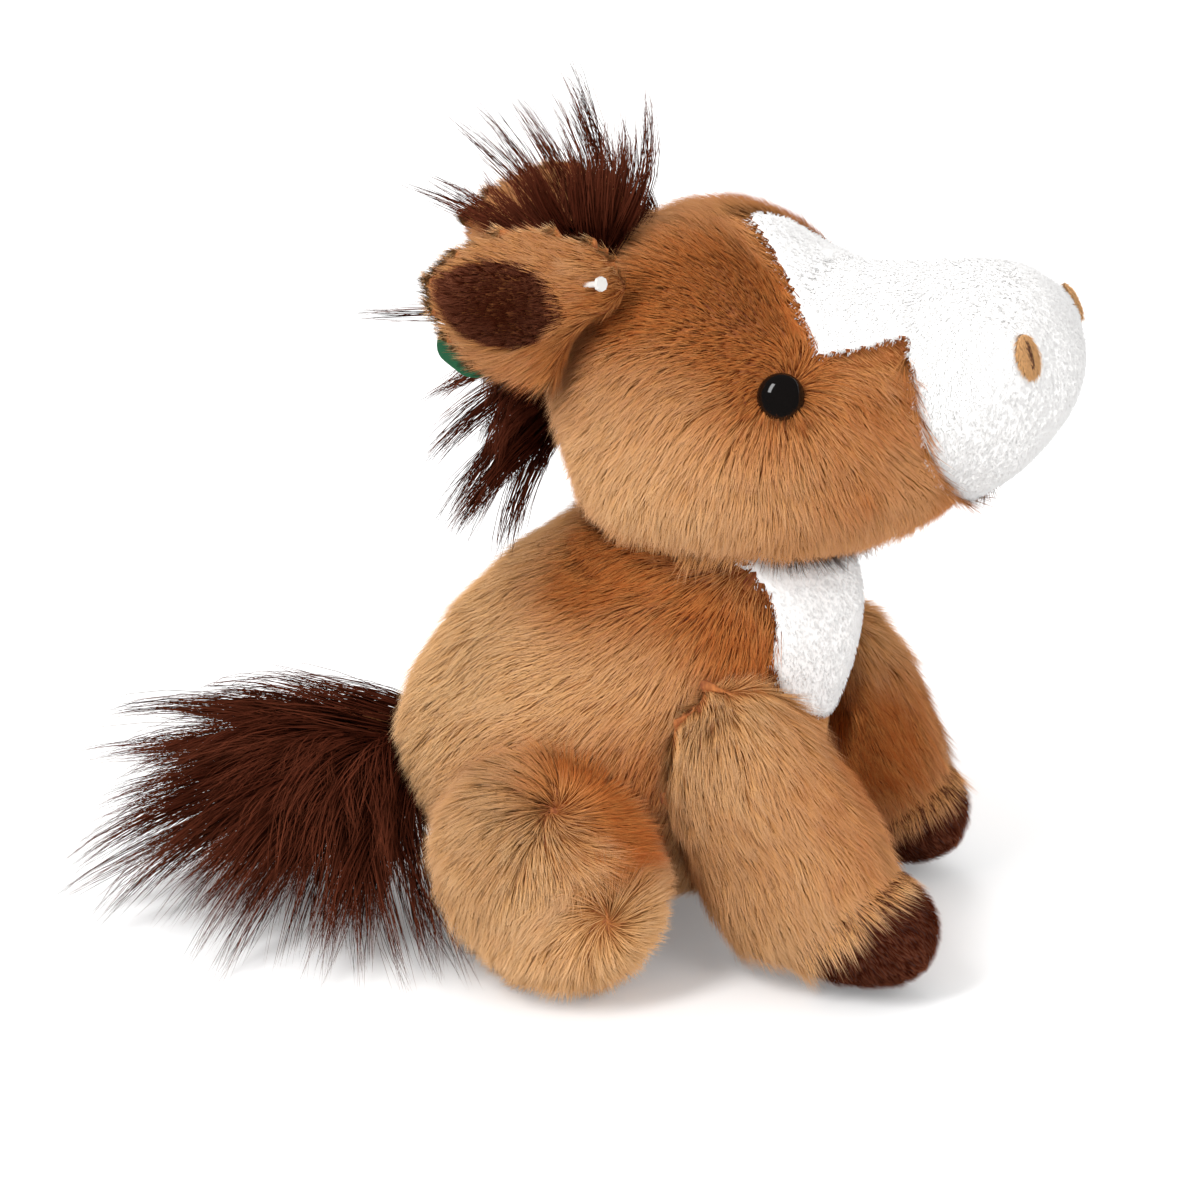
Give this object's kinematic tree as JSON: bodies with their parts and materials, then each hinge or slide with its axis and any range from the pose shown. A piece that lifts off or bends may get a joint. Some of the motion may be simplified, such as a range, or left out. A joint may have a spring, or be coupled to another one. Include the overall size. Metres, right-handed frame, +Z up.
{
  "type": "seated plush pony",
  "caption": "Seated stuffed toy pony in long tan plush with a white muzzle, blaze and bib, dark hooves, mane, forelock and bushy tail.",
  "frame": {"origin": "on the resting plane, in the middle of the seat between the hips", "axes": "+X the way the pony faces, +Y its left, +Z up"},
  "size_m": [0.213, 0.1482, 0.1799],
  "materials": {
    "tan_plush": "long brushed plush pile",
    "white_plush": "short dense plush pile",
    "dark_short_plush": "short dark brown plush pile",
    "dark_long_pile": "long loose dark brown pile",
    "fibre_filling": "loose white fibre",
    "bean_cloth": "plain woven bag of pellets",
    "black_eye_plastic": "polished black",
    "plain_plastic": "plain moulded",
    "tan_patch": "flat stitched cloth",
    "green_card": "plain coated card"
  },
  "bodies": {
    "torso": {"torso_skin": "tan_plush", "chest_bib": "white_plush", "torso_filling": "fibre_filling", "seat_bean_bag": "bean_cloth"},
    "neck": {"neck_filling": "fibre_filling"},
    "head": {"head_skin": "tan_plush", "face_blaze": "white_plush", "head_filling": "fibre_filling", "muzzle_skin": "white_plush", "nostril_right": "tan_patch", "nostril_left": "tan_patch", "eye_right": "black_eye_plastic", "eye_left": "black_eye_plastic", "eye_washer_right": "plain_plastic", "eye_washer_left": "plain_plastic", "forelock": "dark_long_pile", "neck_mane": "dark_long_pile"},
    "ear_right": {"ear_right_shell": "tan_plush", "ear_right_lining": "dark_short_plush", "swing_tag": "green_card", "tag_tack": "plain_plastic"},
    "ear_left": {"ear_left_shell": "tan_plush", "ear_left_lining": "dark_short_plush"},
    "foreleg_right": {"foreleg_right_skin": "tan_plush", "foreleg_right_filling": "fibre_filling", "fore_hoof_right": "dark_short_plush"},
    "foreleg_left": {"foreleg_left_skin": "tan_plush", "foreleg_left_filling": "fibre_filling", "fore_hoof_left": "dark_short_plush"},
    "hind_leg_right": {"hind_leg_right_skin": "tan_plush", "hind_leg_right_filling": "fibre_filling"},
    "hind_leg_left": {"hind_leg_left_skin": "tan_plush", "hind_leg_left_filling": "fibre_filling"},
    "tail": {"tail": "dark_long_pile", "tail_core": "tan_plush"}
  },
  "joints": [
    {"name": "head_turn", "type": "hinge", "parent": "torso", "child": "neck", "pos_m": [0.02, 0, 0.089], "axis": [0, 0, 1], "range_deg": [-15, 15], "stiffness_Nm_per_rad": 0.3},
    {"name": "head_nod", "type": "hinge", "parent": "neck", "child": "head", "pos_m": [0.02, 0, 0.089], "axis": [0, -1, 0], "range_deg": [-8, 8], "stiffness_Nm_per_rad": 1},
    {"name": "ear_right_flop", "type": "hinge", "parent": "head", "child": "ear_right", "pos_m": [0.01076, -0.0327, 0.13692], "axis": [0.3783, -0.121, 0.9177], "range_deg": [-4, 16], "stiffness_Nm_per_rad": 0.02},
    {"name": "ear_left_flop", "type": "hinge", "parent": "head", "child": "ear_left", "pos_m": [-0.00246, 0.02092, 0.13093], "axis": [-0.2822, -0.2136, -0.9353], "range_deg": [-4, 16], "stiffness_Nm_per_rad": 0.02},
    {"name": "foreleg_right_lift", "type": "hinge", "parent": "torso", "child": "foreleg_right", "pos_m": [0.027, -0.026, 0.065], "axis": [0, -1, 0], "range_deg": [0, 20], "stiffness_Nm_per_rad": 0.1},
    {"name": "foreleg_left_lift", "type": "hinge", "parent": "torso", "child": "foreleg_left", "pos_m": [0.035, 0.026, 0.065], "axis": [0, -1, 0], "range_deg": [0, 20], "stiffness_Nm_per_rad": 0.1},
    {"name": "hind_leg_right_splay", "type": "hinge", "parent": "torso", "child": "hind_leg_right", "pos_m": [-0.01, -0.022, 0.031], "axis": [0, 0, -1], "range_deg": [0, 12], "stiffness_Nm_per_rad": 0.1},
    {"name": "hind_leg_left_splay", "type": "hinge", "parent": "torso", "child": "hind_leg_left", "pos_m": [-0.01, 0.022, 0.031], "axis": [0, 0, 1], "range_deg": [0, 12], "stiffness_Nm_per_rad": 0.1},
    {"name": "tail_wag", "type": "hinge", "parent": "torso", "child": "tail", "pos_m": [-0.038, 0, 0.028], "axis": [0, 0, 1], "range_deg": [-20, 4], "stiffness_Nm_per_rad": 0.05}
  ]
}
